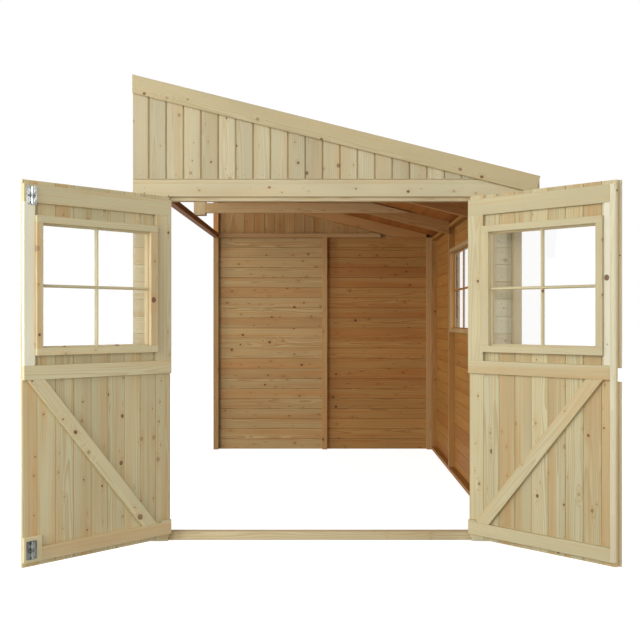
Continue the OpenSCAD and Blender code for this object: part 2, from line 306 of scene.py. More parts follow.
def eased_slab(stack, outline, thick, placing, angle, stick=None, amber=0.0, ease=EASE):
    """A flat outline carried through its thickness, drawn in by ease on both faces.

    The grain runs at an angle in the outline's own plane.
    """
    stick = stick or new_stick()
    outline = anticlockwise(np.asarray(outline, float))
    small = inset(outline, ease)
    rings = stepped((small, outline, outline, small), (0, ease, thick - ease, thick))
    centre = outline.mean(0)
    run = rings[..., :2] - centre
    along = run[..., 0] * math.cos(angle) + run[..., 1] * math.sin(angle)
    across = run[..., 1] * math.cos(angle) - run[..., 0] * math.sin(angle)
    grain = np.stack([along, across, rings[..., 2]], -1) + stick["from"]
    finish = np.array([stick["tone"], amber, 0.0])
    stack.add(rings, placing, grain, finish)


def front_slab(stack, outline, near, far, angle, **finish):
    """A slab whose outline is drawn as x and z, as seen from the front, from depth near to far."""
    eased_slab(stack, outline, far - near, lay((0, far, 0), X, Z, -Y), angle, **finish)


JOINT_GAP = 0.0001
NARROWEST = 0.012
SETTLE = 0.0004
CUT_REACH = 0.001
TONGUE = {"tongue": (0.004, 0.0022), "groove": (-0.0055, 0.0026)}
FINE_VEE = (0.002, 0.002)


def board_side(kind, edge, out, thick, inner_vee, outer_vee):
    """Points up one side of a board, inner face to outer face, as across, out and groove.

    A joint is cut back by a vee, half its width and its depth, at both faces, and has a tongue
    standing out of its middle or a groove going in. A sawn side has eased corners, and a split
    side is plain.
    """
    if kind == "split":
        return [(edge, 0, 0), (edge, thick, 0)]
    if kind == "sawn":
        return [
            (edge - out * EASE, 0, 0), (edge, EASE, 0),
            (edge, thick - EASE, 0), (edge - out * EASE, thick, 0)
        ]
    reach, half = TONGUE[kind]
    cheek = edge - out * JOINT_GAP
    end = edge + out * reach
    middle = thick / 2
    return [
        (edge - out * inner_vee[0], 0, 0), (cheek, inner_vee[1], 1), (cheek, middle - half, 1),
        (end, middle - half, 1), (end, middle + half, 1), (cheek, middle + half, 1),
        (cheek, thick - outer_vee[1], 1), (edge - out * outer_vee[0], thick, 0)
    ]


def cladding(stack, placing, along, across, amber=(0.0, 0.0), first=BOARD_COVER, cover=BOARD_COVER,
             slope=0.0, opening=None, inner_vee=FINE_VEE, outer_vee=FINE_VEE, tones=(0.0, 1.0)):
    """Tongue and groove boards side by side, from across[0] to across[1].

    Joint k lies at across[0] + first + k * cover. An opening is (along low, along high, across
    low, across high): a board that meets it is split at its edges and stops short of it.
    """
    low_edge, high_edge = across
    inner = np.arange(low_edge + first, high_edge - NARROWEST, cover)
    edges = np.concatenate([[low_edge], inner, [high_edge]])
    for low, high in zip(edges[:-1], edges[1:]):
        stick = new_stick()
        stick["tone"] = tones[0] + (tones[1] - tones[0]) * stick["tone"]
        settle = rng.uniform(-SETTLE, 0)
        cuts = [low, high]
        if opening:
            cuts += [cut for cut in opening[2:] if low + CUT_REACH < cut < high - CUT_REACH]
        cuts = sorted(cuts)
        for a, b in zip(cuts[:-1], cuts[1:]):
            low_kind = "sawn" if a == low_edge else "groove" if a == low else "split"
            high_kind = "sawn" if b == high_edge else "tongue" if b == high else "split"
            sides = board_side(low_kind, a, -1, BOARD_T, inner_vee, outer_vee)[::-1]
            sides += board_side(high_kind, b, 1, BOARD_T, inner_vee, outer_vee)
            sides = np.array(sides, float)
            outline = sides[:, :2] + [0, settle]
            # Painted shade: the inner face takes the first value and the outer face the second.
            shade = np.where(sides[:, 1] < BOARD_T / 2, amber[0], amber[1])
            lengths = [(along[0], along[1], slope)]
            if opening and a > opening[2] - CUT_REACH and b < opening[3] + CUT_REACH:
                lengths = [(along[0], opening[0], 0.0), (opening[1], along[1], slope)]
            for start, stop, lean in lengths:
                carry(stack, outline, start, stop, placing, stick, shade, sides[:, 2], lean)


def lathe(stack, placing, radii, heights, around=12, darkening=0.0):
    """A turned shape: (r cos a, r sin a, h) for the pairs of radius r and height h."""
    angle = np.arange(around) * 2 * np.pi / around
    radii = np.asarray(radii, float)[:, None]
    heights = np.asarray(heights, float)[:, None]
    rings = np.stack([radii * np.cos(angle), radii * np.sin(angle), heights + 0 * angle], -1)
    stack.add(rings, placing, rings, np.array([darkening, 0.0, 0.0]))


def facing(point, out):
    """A placing at a point whose third axis is out."""
    out = np.asarray(out, float)
    side = Z if abs(out[2]) < 0.9 else X
    p_axis = np.cross(side, out)
    p_axis = p_axis / np.linalg.norm(p_axis)
    return lay(np.asarray(point, float), p_axis, np.cross(out, p_axis), out)


NAIL_R = 0.0023 * np.array([0.9, 1, 0.8, 0.35])
NAIL_H = (-0.0006, 0.0002, 0.0006, 0.0008)
SCREW_R = np.array([0.9, 1, 0.93, 0.42, 0.3, 0.12])
SCREW_H = (-0.0008, 0.0003, 0.0008, 0.0009, -0.0006, -0.0007)


def row(x, y, z):
    """Points in a row, from single values and arrays of one length."""
    return np.column_stack(np.broadcast_arrays(x, y, z))


def nail_heads(stack, points, out):
    """Domed nail heads, each standing 0.8 mm proud."""
    for point in points:
        lathe(stack, facing(point, out), NAIL_R, NAIL_H, 8)


def screw_heads(stack, points, out, radius, darkening=0.0):
    """Countersunk screw heads, a flat rim round a driving recess."""
    for point in points:
        lathe(stack, facing(point, out), radius * SCREW_R, SCREW_H, 10, darkening)


def piece(name, stack, finish, body, *nodes):
    """Makes the stack one object, puts it on its body, and hides the CAD nodes it stands for."""
    material, slot = finish
    mesh = bpy.data.meshes.new(name)
    mesh.from_pydata(np.concatenate(stack.points).tolist(), [], stack.faces)
    for attribute, values in (("grain", stack.grain), ("finish", stack.finish)):
        layer = mesh.attributes.new(attribute, "FLOAT_VECTOR", "POINT")
        layer.data.foreach_set("vector", np.concatenate(values).astype(np.float32).ravel())
    mesh.materials.append(material)
    made = bpy.data.objects.new(name, mesh)
    bpy.context.scene.collection.objects.link(made)
    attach(made, body)
    if nodes:
        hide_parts(*nodes)


def timbers(name, finish, along, *nodes, amber=0.0, ease=EASE):
    """A piece of squared timbers, one for each solid of the CAD nodes, on the shed."""
    stack = Stack()
    for node in nodes:
        for low, high in solids(node):
            eased_box(stack, low, high, along, amber=amber, ease=ease)
    piece(name, stack, finish, "shed", *nodes)


def front_timber(name, finish, node, outline, angle, **look):
    """A piece on the shed for one CAD node, from its outline as seen from the front."""
    low, high = span(node)
    stack = Stack()
    front_slab(stack, outline, low[1], high[1], angle, **look)
    piece(name, stack, finish, "shed", node)


# ---- Materials ----

WHITE = (1.0, 1.0, 1.0, 1.0)


def paint(red, green, blue):
    """A colour written in display values from 0 to 255, as linear light."""
    shown = np.array([red, green, blue]) / 255
    linear = np.where(shown <= 0.04045, shown / 12.92, ((shown + 0.055) / 1.055) ** 2.4)
    return (*linear.tolist(), 1.0)


def fill(tree, inputs, sockets):
    """Fills inputs by name, from plain values or from other sockets."""
    for name, value in sockets.items():
        if isinstance(value, bpy.types.NodeSocket):
            tree.links.new(value, inputs[name])
        else:
            inputs[name].default_value = value


def put(tree, kind, sockets=None, **settings):
    """Adds a node, with its settings, and fills its sockets."""
    node = tree.nodes.new(kind)
    for name, value in settings.items():
        setattr(node, name, value)
    fill(tree, node.inputs, sockets or {})
    return node


def maths(tree, operation, first, second=0.0, third=0.0, clamp=False):
    sockets = {0: first, 1: second, 2: third}
    return put(tree, "ShaderNodeMath", sockets, operation=operation, use_clamp=clamp).outputs[0]


def vectors(tree, operation, first, second):
    return put(tree, "ShaderNodeVectorMath", {0: first, 1: second}, operation=operation).outputs[0]


def mixed(tree, factor, first, second, blend="MIX"):
    sockets = {0: factor, 6: first, 7: second}
    return put(tree, "ShaderNodeMix", sockets, data_type="RGBA", blend_type=blend).outputs[2]


def ramp(tree, value, low, high, to_low=0.0, to_high=1.0):
    sockets = {"Value": value, "From Min": low, "From Max": high, "To Min": to_low, "To Max": to_high}
    return put(tree, "ShaderNodeMapRange", sockets, interpolation_type="SMOOTHSTEP").outputs[0]


def stretched_noise(tree, grain, stretch, detail=1.0):
    """Noise along the grain, each of its axes multiplied by a stretch of its own."""
    place = vectors(tree, "MULTIPLY", grain, stretch)
    return put(tree, "ShaderNodeTexNoise", {"Vector": place, "Scale": 1.0, "Detail": detail}).outputs


def group(name, inputs, outputs):
    """An empty shader node group with the named sockets, and its two end nodes."""
    tree = bpy.data.node_groups.new(name, "ShaderNodeTree")
    for socket, kind in inputs.items():
        tree.interface.new_socket(socket, in_out="INPUT", socket_type="NodeSocket" + kind)
    for socket, kind in outputs.items():
        tree.interface.new_socket(socket, in_out="OUTPUT", socket_type="NodeSocket" + kind)
    return tree, tree.nodes.new("NodeGroupInput").outputs, tree.nodes.new("NodeGroupOutput").inputs


def make_spruce():
    """Planed spruce. Growth rings are cylinders round the log's heart, shaken by slow noise; knots
    sit at chance points along and across the stick, with the grain swelling round each. A stick
    whose tone is over 1 is painted paler and washed towards grey-white: painted light."""
    tree, given, result = group(
        "spruce",
        {
            "Grain": "Vector", "Tone": "Float", "Tone Range": "Float", "Ring Width": "Float",
            "Figure": "Float", "Knot Share": "Float", "Knot Size": "Float", "Early": "Color",
            "Late": "Color", "Blush": "Color", "Knot": "Color"
        },
        {"Color": "Color", "Roughness": "Float", "Height": "Float"},
    )
    grain = given["Grain"]
    cell = (0.12, 0.095, 1.0)
    per_cell = tuple(1 / size for size in cell)
    slow = stretched_noise(tree, grain, (1.1, 8.0, 8.0), 2.0)["Color"]
    shaken = vectors(tree, "SUBTRACT", slow, (0.5, 0.5, 0.5))
    shaken = vectors(tree, "MULTIPLY", shaken, (0.0, 0.03, 0.03))

    scaled = vectors(tree, "MULTIPLY", grain, per_cell)
    knots = put(
        tree, "ShaderNodeTexVoronoi", {"Vector": scaled, "Scale": 1.0, "Randomness": 0.9},
        voronoi_dimensions="2D", feature="F1"
    )
    chance = put(tree, "ShaderNodeSeparateColor", {0: knots.outputs["Color"]}).outputs
    away = vectors(tree, "SUBTRACT", scaled, knots.outputs["Position"])
    away = put(tree, "ShaderNodeSeparateXYZ", {0: vectors(tree, "MULTIPLY", away, cell)}).outputs
    along_2 = maths(tree, "MULTIPLY", away[0], away[0])
    across_2 = maths(tree, "MULTIPLY", away[1], away[1])
    near = maths(tree, "SQRT", maths(tree, "MULTIPLY_ADD", along_2, 0.75, across_2))
    far = maths(tree, "SQRT", maths(tree, "MULTIPLY_ADD", along_2, 0.09, across_2))
    ragged = put(tree, "ShaderNodeTexNoise", {"Vector": grain, "Scale": 120.0, "Detail": 1.0})
    near = maths(tree, "MULTIPLY_ADD", ragged.outputs[0], 0.002, near)
    radius = maths(tree, "MULTIPLY_ADD", maths(tree, "POWER", chance[0], 2.5), 0.85, 0.38)
    radius = maths(tree, "MULTIPLY", radius, given["Knot Size"])
    there = maths(tree, "LESS_THAN", chance[1], given["Knot Share"])
    ratio = maths(tree, "DIVIDE", near, radius)
    knot = maths(tree, "MULTIPLY", ramp(tree, ratio, 1.3, 0.9), there)
    rim = maths(tree, "MULTIPLY", ramp(tree, ratio, 0.7, 1.05), knot)
    halo = ramp(tree, maths(tree, "DIVIDE", far, radius), 2.6, 0.8)
    halo = maths(tree, "MULTIPLY", halo, there)

    heart = put(tree, "ShaderNodeSeparateXYZ", {0: vectors(tree, "ADD", grain, shaken)}).outputs
    out_2 = maths(tree, "MULTIPLY", heart[1], heart[1])
    out_2 = maths(tree, "MULTIPLY_ADD", heart[2], heart[2], out_2)
    out = maths(tree, "MULTIPLY_ADD", halo, 0.007, maths(tree, "SQRT", out_2))
    ring = maths(tree, "FRACT", maths(tree, "DIVIDE", out, given["Ring Width"]))
    late = maths(tree, "MULTIPLY", ramp(tree, ring, 0.35, 0.9), ramp(tree, ring, 1.0, 0.93))

    fibre = stretched_noise(tree, grain, (9.0, 700.0, 700.0), 2.0)[0]
    streak = stretched_noise(tree, grain, (1.4, 75.0, 75.0), 3.0)[0]
    patch = stretched_noise(tree, grain, (2.2, 7.0, 7.0))[0]
    warm = stretched_noise(tree, grain, (0.45, 9.0, 9.0))[0]

    colour = mixed(tree, maths(tree, "MULTIPLY", late, given["Figure"]), given["Early"], given["Late"])
    blush = maths(tree, "MULTIPLY", ramp(tree, streak, 0.48, 0.72), given["Figure"])
    blush = maths(tree, "MULTIPLY_ADD", halo, 0.3, blush)
    blush = maths(tree, "ADD", blush, ramp(tree, warm, 0.5, 0.66, 0.0, 0.6), clamp=True)
    colour = mixed(tree, blush, colour, given["Blush"])
    # Painted light: tones over 1 wash the colour towards grey-white.
    painted_glare = ramp(tree, given["Tone"], 1.0, 3.0, 0.0, 0.75)
    colour = mixed(tree, painted_glare, colour, paint(206, 206, 190))
    light = maths(tree, "SUBTRACT", given["Tone"], 0.5)
    light = maths(tree, "MULTIPLY_ADD", light, given["Tone Range"], 1.0)
    light = maths(tree, "MULTIPLY_ADD", maths(tree, "SUBTRACT", fibre, 0.5), 0.10, light)
    light = maths(tree, "MULTIPLY_ADD", maths(tree, "SUBTRACT", patch, 0.5), 0.22, light)
    stripe = maths(tree, "MULTIPLY", maths(tree, "SUBTRACT", streak, 0.5), given["Figure"])
    light = maths(tree, "MULTIPLY_ADD", stripe, 0.3, light)
    grey = put(tree, "ShaderNodeCombineColor", {0: light, 1: light, 2: light}).outputs[0]
    colour = mixed(tree, 1.0, colour, grey, "MULTIPLY")
    dark = mixed(tree, rim, given["Knot"], paint(72, 50, 32))
    depth = maths(tree, "MULTIPLY", knot, ramp(tree, chance[2], 0.4, 0.75, 0.4, 0.95))
    colour = mixed(tree, depth, colour, dark)

    rough = maths(tree, "MULTIPLY_ADD", late, -0.08, 0.62)
    rough = maths(tree, "MULTIPLY_ADD", fibre, 0.12, rough)
    rough = maths(tree, "MULTIPLY_ADD", knot, -0.18, rough)
    height = maths(tree, "MULTIPLY_ADD", late, 0.35, maths(tree, "MULTIPLY", fibre, 0.5))
    height = maths(tree, "MULTIPLY_ADD", knot, 0.5, height)
    fill(tree, result, {"Color": colour, "Roughness": rough, "Height": height})
    return tree


def make_painted_shade_and_dust():
    """Painted shade on faces kept from the lamps, and dust with painted shade in the joints.

    Colour * mix(white, shade colour, shade amount) * mix(white, dust and shade colour, groove ^ 1.5),
    the joint darkening broken by noise.
    """
    tree, given, result = group(
        "painted_shade_and_dust",
        {
            "Color": "Color", "Roughness": "Float", "Grain": "Vector", "Painted Shade": "Float",
            "Groove": "Float", "Painted Shade Colour": "Color", "Dust And Shade": "Color"
        },
        {"Color": "Color", "Roughness": "Float"},
    )
    broken = {"Vector": given["Grain"], "Scale": 35.0}
    broken = put(tree, "ShaderNodeTexNoise", broken).outputs[0]
    # Dust and painted shade gather deepest at the bottom of each vee.
    settled_and_shaded = maths(tree, "POWER", given["Groove"], 1.5)
    settled_and_shaded = maths(tree, "MULTIPLY", settled_and_shaded, maths(tree, "ADD", broken, 0.45), clamp=True)
    shade_tint = mixed(tree, given["Painted Shade"], WHITE, given["Painted Shade Colour"])
    colour = mixed(tree, 1.0, given["Color"], shade_tint, "MULTIPLY")
    colour = mixed(tree, 1.0, colour, mixed(tree, settled_and_shaded, WHITE, given["Dust And Shade"]), "MULTIPLY")
    rough = maths(tree, "MULTIPLY_ADD", settled_and_shaded, 0.2, given["Roughness"], clamp=True)
    fill(tree, result, {"Color": colour, "Roughness": rough})
    return tree


def make_plating():
    """Zinc plate: crystals of chance brightness, dulled in patches by slow noise.

    Darkening multiplies it towards grey-brown: colour * mix(white, grey-brown, darkening).
    """
    tree, given, result = group(
        "zinc_plating",
        {
            "Place": "Vector", "Bright": "Color", "Dull": "Color", "Crystal": "Float",
            "Darkening": "Float"
        },
        {"Color": "Color", "Roughness": "Float", "Height": "Float"},
    )
    crystal = put(tree, "ShaderNodeTexVoronoi", {"Vector": given["Place"], "Scale": given["Crystal"]})
    shade = put(tree, "ShaderNodeSeparateColor", {0: crystal.outputs["Color"]}).outputs[0]
    patch = put(tree, "ShaderNodeTexNoise", {"Vector": given["Place"], "Scale": 38.0, "Detail": 3.0})
    dull = ramp(tree, patch.outputs[0], 0.42, 0.66)
    dull = maths(tree, "MULTIPLY_ADD", shade, 0.2, maths(tree, "MULTIPLY", dull, 0.7), clamp=True)
    film = mixed(tree, given["Darkening"], WHITE, paint(112, 108, 100))
    colour = mixed(tree, 1.0, mixed(tree, dull, given["Bright"], given["Dull"]), film, "MULTIPLY")
    rough = maths(tree, "MULTIPLY_ADD", dull, 0.25, 0.27)
    height = maths(tree, "MULTIPLY", shade, 0.3)
    fill(tree, result, {"Color": colour, "Roughness": rough, "Height": height})
    return tree


SPRUCE = make_spruce()
PAINTED_SHADE_AND_DUST = make_painted_shade_and_dust()
PLATING = make_plating()


def blank_material(name):
    material = bpy.data.materials.new(name)
    material.use_nodes = True
    tree = material.node_tree
    return material, tree, tree.nodes["Principled BSDF"]


def wood(name, early, late, blush, knot=(116, 82, 52), amber=(190, 132, 78), dust=(206, 184, 152),
         ring=0.0042, figure=0.55, knots=0.42, knot_size=0.0085, tone_range=0.16):
    """A timber finish and its slot: spruce, then painted shade and joint dust with painted shade, on a
    dry planed surface.
    """
    material, tree, shader = blank_material(name)
    grain = put(tree, "ShaderNodeAttribute", attribute_name="grain").outputs["Vector"]
    finish = put(tree, "ShaderNodeAttribute", attribute_name="finish").outputs["Vector"]
    # The finish holds tone, painted shade and groove.
    tone, shade_amount, groove = put(tree, "ShaderNodeSeparateXYZ", {0: finish}).outputs
    spruce = put(tree, "ShaderNodeGroup", {
        "Grain": grain, "Tone": tone, "Tone Range": tone_range, "Ring Width": ring, "Figure": figure,
        "Knot Share": knots, "Knot Size": knot_size, "Early": paint(*early), "Late": paint(*late),
        "Blush": paint(*blush), "Knot": paint(*knot)
    }, node_tree=SPRUCE).outputs
    dusty = put(tree, "ShaderNodeGroup", {
        "Color": spruce["Color"], "Roughness": spruce["Roughness"], "Grain": grain,
        "Painted Shade": shade_amount, "Groove": groove, "Painted Shade Colour": paint(*amber), "Dust And Shade": paint(*dust)
    }, node_tree=PAINTED_SHADE_AND_DUST).outputs
    bump = {"Height": spruce["Height"], "Strength": 0.35, "Distance": 0.0008}
    fill(tree, shader.inputs, {
        "Base Color": dusty["Color"], "Roughness": dusty["Roughness"], "Specular IOR Level": 0.3,
        "Normal": put(tree, "ShaderNodeBump", bump).outputs[0]
    })
    return material, name


def zinc(name, bright, dull, crystal, metallic=0.85):
    """Zinc plated steel, its darkening kept with the shape."""
    material, tree, shader = blank_material(name)
    place = put(tree, "ShaderNodeTexCoord").outputs["Object"]
    finish = put(tree, "ShaderNodeAttribute", attribute_name="finish").outputs["Vector"]
    darkening = put(tree, "ShaderNodeSeparateXYZ", {0: finish}).outputs[0]
    plating = put(tree, "ShaderNodeGroup", {
        "Place": place, "Bright": paint(*bright), "Dull": paint(*dull), "Crystal": crystal,
        "Darkening": darkening
    }, node_tree=PLATING).outputs
    bump = {"Height": plating["Height"], "Strength": 0.2, "Distance": 0.0003}
    fill(tree, shader.inputs, {
        "Base Color": plating["Color"], "Roughness": plating["Roughness"], "Metallic": metallic,
        "Normal": put(tree, "ShaderNodeBump", bump).outputs[0]
    })
    return material, "zinc_fittings"


def clear_glass(name):
    """Clear sheet, mostly see-through, with a faint film of dust."""
    material, tree, shader = blank_material(name)
    place = put(tree, "ShaderNodeTexCoord").outputs["Object"]
    film = put(tree, "ShaderNodeTexNoise", {"Vector": place, "Scale": 9.0, "Detail": 4.0}).outputs[0]
    fill(tree, shader.inputs, {
        "Roughness": ramp(tree, film, 0.35, 0.75, 0.005, 0.03), "Base Color": (0.97, 0.985, 0.98, 1),
        "Transmission Weight": 1.0, "IOR": 1.45, "Alpha": 0.06
    })
    return material, name


OUTER = wood("outer_boards", (200, 190, 156), (179, 161, 121), (193, 171, 130),
             dust=(230, 220, 200), knots=0.6, tone_range=0.14)
# The wall boards' darker, more amber colours are partly the wood's own and partly painted shade for the
# inside of the shed.
WALL = wood("wall_boards", (197, 181, 135), (166, 138, 90), (180, 142, 90), amber=(224, 178, 118),
            dust=(160, 128, 92), figure=0.85, knot=(106, 70, 40), knots=0.72, knot_size=0.0095,
            tone_range=0.14)
TRIM = wood("trim_timber", (187, 173, 136), (168, 149, 107), (180, 157, 112), figure=0.6, knots=0.4)
STUDS = wood("frame_timber", (207, 192, 153), (180, 154, 110), (194, 164, 116), amber=(214, 166, 100))
ROOF_WOOD = wood("roof_timber", (205, 178, 130), (172, 136, 86), (184, 142, 88), amber=(214, 168, 112))
ROOF_DECK = wood("roof_boards", (208, 184, 140), (178, 146, 98), (186, 146, 94), amber=(202, 144, 76),
                 knot_size=0.012)
# The rail's dark brown is painted shade, standing for the shade on its underside.
DARK_RAIL = wood("treated_rail", (140, 88, 34), (110, 66, 22), (120, 72, 24), knot=(66, 38, 18))
DOOR_BOARDS = wood("door_boards", (205, 196, 158), (180, 162, 116), (194, 161, 110),
                   dust=(228, 212, 184), figure=0.7, knots=0.6, tone_range=0.15)
DOOR_WOOD = wood("door_timber", (207, 197, 158), (185, 165, 122), (197, 168, 122), figure=0.5,
                 knot=(112, 72, 42), knots=0.4, knot_size=0.0115, tone_range=0.14)
ZINC = zinc("zinc_fittings", (188, 192, 190), (128, 130, 126), 420.0)
NAILS = zinc("nail_heads", (150, 146, 136), (108, 102, 92), 900.0, metallic=0.5)
CLEAR = clear_glass("clear_pane")

# ---- Front wall ----

# Painted light: both front panels take paler tones, the right one much paler, to make up for the shadow
# the open leaves throw on them.
LEFT_TONES = (0.4, 1.3)
RIGHT_TONES = (1.7, 2.6)
panels = Stack()
across_front = lay((0, FRONT_FRAME_Y, 0), Z, -Y, X)
up_front = lay((0, FRONT_FRAME_Y, 0), X, -Y, Z)
for low, high, tones in ((left_lo, left_hi, LEFT_TONES), (right_lo, right_hi, RIGHT_TONES)):
    cladding(panels, across_front, (low[0], high[0]), (low[2], high[2]), amber=(1, 0), tones=tones)
piece("front_panel_cladding", panels, OUTER, "shed", "front_left_boards", "front_right_boards")

timbers("front_post_timbers", STUDS, 2, "front_posts", amber=0.35)
timbers("front_sill_timber", STUDS, 0, "front_sill", ease=0.003)

# The header is one plank with a faint bead line near its top, which closes up to the gable
HEADER_BEVEL = 0.005
HEADER_GAP = 0.0003
BEAD_DOWN = 0.021
BEAD_HALF = 0.0013
header = Stack()
top = WALL_TOP - HEADER_Z - HEADER_GAP
bead = top - BEAD_DOWN
header_outline = np.array([
    (EASE, 0), (top, 0), (top, BOARD_T - HEADER_BEVEL), (top - HEADER_BEVEL, BOARD_T),
    (bead + BEAD_HALF, BOARD_T), (bead, BOARD_T - BEAD_HALF), (bead - BEAD_HALF, BOARD_T),
    (EASE, BOARD_T), (0, BOARD_T - EASE), (0, EASE)
])
# The bead line takes half of the joints' dust and painted shade.
header_groove = np.where(header_outline[:, 0] == bead, 0.5, 0.0)
header_shade = np.where(header_outline[:, 1] < BOARD_T / 2, 1.0, 0.0)
carry(header, header_outline, header_lo[0], SIDE_X, lay((0, FRONT_FRAME_Y, HEADER_Z), Z, -Y, X),
      new_stick(), header_shade, header_groove)
drop = (CORNER_X - SIDE_X) * ROOF_TAN
front_slab(
    header,
    [(SIDE_X, HEADER_Z), (CORNER_X, HEADER_Z), (CORNER_X, header_hi[2] - drop),
     (SIDE_X, header_hi[2])],
    FRONT_Y, FRONT_FRAME_Y, 0.0
)
piece("header_plank", header, OUTER, "shed", "header_board")

# Rebated beam behind the header; its lower edge is the stop for the doors
beam_lo, beam_hi = span("header_beam")
beam = Stack()
stop_y = -STUD / 2
eased_box(beam, (beam_lo[0], FRONT_FRAME_Y, HEADER_Z), (beam_hi[0], stop_y, beam_hi[2]), 0, amber=0.4)
eased_box(beam, (beam_lo[0], stop_y, beam_lo[2]), beam_hi, 0)
piece("door_stop_beam", beam, STUDS, "shed", "header_beam")

GABLE_COVER = 0.0905
GABLE_VEE = (0.0075, 0.007)
gable_top = roof_z(0) - ROOF_GAP
gable = Stack()
cladding(
    gable, up_front, (WALL_TOP, gable_top), (gable_lo[0], gable_hi[0]), amber=(1, 0),
    first=0.084, cover=GABLE_COVER, slope=-ROOF_TAN, outer_vee=GABLE_VEE, tones=(-1.0, 0.1)
)
piece("front_gable_cladding", gable, OUTER, "shed", "front_gable_boards")


def barge(name, node):
    """The sloping edge board, upright at the house and square at the eave."""
    low, high = span(node)
    rise = high[2] + low[0] * ROOF_TAN
    square = high[0] - BARGE_W * math.sin(ROOF_ANGLE)
    drop = BARGE_W / math.cos(ROOF_ANGLE)
    outline = [
        (low[0], rise - low[0] * ROOF_TAN - drop), (square, rise - square * ROOF_TAN - drop),
        (high[0], rise - high[0] * ROOF_TAN), (low[0], rise - low[0] * ROOF_TAN)
    ]
    front_timber(name, TRIM, node, outline, -ROOF_ANGLE, ease=0.002)


barge("front_barge", "front_barge_board")
barge("back_barge", "back_barge_board")

# A corner trim is an angle: a strip on the front or back boards, and one on the side's
TRIM_T = CORNER_X - SIDE_X
ANGLE_REACH = 0.032
angles = Stack()
for y_low, y_high, inner in (
    (FRONT_Y - TRIM_T, FRONT_Y, (FRONT_Y, FRONT_Y + STUD)),
    (BACK_Y, BACK_Y + TRIM_T, (BACK_Y - STUD, BACK_Y)),
):
    eased_box(angles, (SIDE_X - ANGLE_REACH, y_low, 0), (CORNER_X, y_high, HEADER_Z), 2)
    eased_box(angles, (SIDE_X, inner[0], 0), (CORNER_X, inner[1], HEADER_Z), 2)
piece("corner_angles", angles, TRIM, "shed", "corner_trims")

# ---- Back wall ----

timbers("gable_rail_timbers", STUDS, 0, "gable_rails", amber=0.55)

# Painted shade: the stud at the house side takes a dark tone.
HOUSE_STUD_TONE = -0.8
OTHER_STUD_TONE = 0.5
SIDE_RAIL_TONE = -0.6

back_studs = Stack()
for low, high in solids("back_studs"):
    tone = HOUSE_STUD_TONE if low[0] < HOUSE_INNER_X else OTHER_STUD_TONE
    eased_box(back_studs, low, high, 2, toned_stick(tone), amber=0.7)
piece("back_wall_studs", back_studs, STUDS, "shed", "back_studs")

back = Stack()
across_back = lay((0, BACK_FRAME_Y, 0), Z, Y, X)
up_back = lay((0, BACK_FRAME_Y, 0), X, Y, Z)
# Painted shade: the right-hand panel, further from the open side, is darkened more than the left-hand
# one.
for low, high, shade in ((back_lo, back_hi, 0.4), (back_right_lo, back_right_hi, 0.85)):
    cladding(back, across_back, (low[0], high[0]), (low[2], high[2]), amber=(shade, 0))
piece("back_wall_cladding", back, WALL, "shed", "back_left_boards", "back_right_boards")

back_gable = Stack()
cladding(back_gable, up_back, (WALL_TOP, gable_top), (back_lo[0], gable_hi[0]), amber=(0.6, 0),
         slope=-ROOF_TAN)
piece("back_gable_cladding", back_gable, WALL, "shed", "back_gable_boards")

# ---- Side wall ----

side = Stack()
along_side = lay((SIDE_FRAME_X, 0, 0), Z, X, Y)
glass_lo, glass_hi = span("side_window_pane")
side_opening = (glass_lo[1], glass_hi[1], glass_lo[2], glass_hi[2])
side_panels = {
    "side_wall_front_boards": None,
    "side_wall_window_boards": side_opening,
    "side_wall_back_boards": None,
}
for node, opening in side_panels.items():
    low, high = span(node)
    cladding(side, along_side, (low[1], high[1]), (low[2], high[2]), amber=(1, 0), opening=opening)
piece("side_wall_cladding", side, WALL, "shed", *side_panels)

side_frame = Stack()
for low, high in solids("side_wall_studs"):
    eased_box(side_frame, low, high, 2, amber=0.9)
for low, high in solids("side_wall_rails"):
    eased_box(side_frame, low, high, 1, toned_stick(SIDE_RAIL_TONE), amber=1.0)
piece("side_wall_frame", side_frame, STUDS, "shed", "side_wall_studs", "side_wall_rails")


BAR_FACE = 0.62


def bar_section(width, depth):
    """Moulded section of a glazing bar: full width at the pane, BAR_FACE of it at its face."""
    half = width / 2
    face = half * BAR_FACE
    return np.array([
        (-half, 0), (half, 0), (half, depth * 0.35), (face, depth * 0.8), (face - 0.0015, depth),
        (-face + 0.0015, depth), (-face, depth * 0.8), (-half, depth * 0.35)
    ])


def glazing(stack, placing, low, high, depth, bar=0.0145, bead=0.009, amber=0.0, bead_depth=0.01):
    """One upright bar, two level bars halved into it, and a bead round the pane.

    low and high are the opening's corners in the placing's first two axes; depth runs along its
    third, away from the pane.
    """
    centre = (np.asarray(low) + np.asarray(high)) / 2
    section = bar_section(bar, depth)
    upright = placing @ lay((centre[0], 0, 0), X, Z, Y)
    level = placing @ lay((0, centre[1], 0), Y, Z, X)
    carry(stack, section, low[1], high[1], upright, new_stick(), amber)
    meet = bar * BAR_FACE / 2
    carry(stack, section, low[0], centre[0] - meet, level, new_stick(), amber)
    carry(stack, section, centre[0] + meet, high[0], level, new_stick(), amber)
    quarter = np.array([(0, 0), (bead, 0), (bead, bead_depth * 0.3), (bead * 0.7, bead_depth * 0.75),
                        (bead * 0.3, bead_depth), (0, bead_depth)])
    beads = (anticlockwise(quarter), anticlockwise(quarter * [-1, 1]))
    for outline, at in zip(beads, (low[0], high[0])):
        carry(stack, outline, low[1], high[1], placing @ lay((at, 0, 0), X, Z, Y), new_stick(), amber)
    for outline, at in zip(beads, (low[1], high[1])):
        carry(stack, outline, low[0] + bead, high[0] - bead,
              placing @ lay((0, at, 0), Y, Z, X), new_stick(), amber)


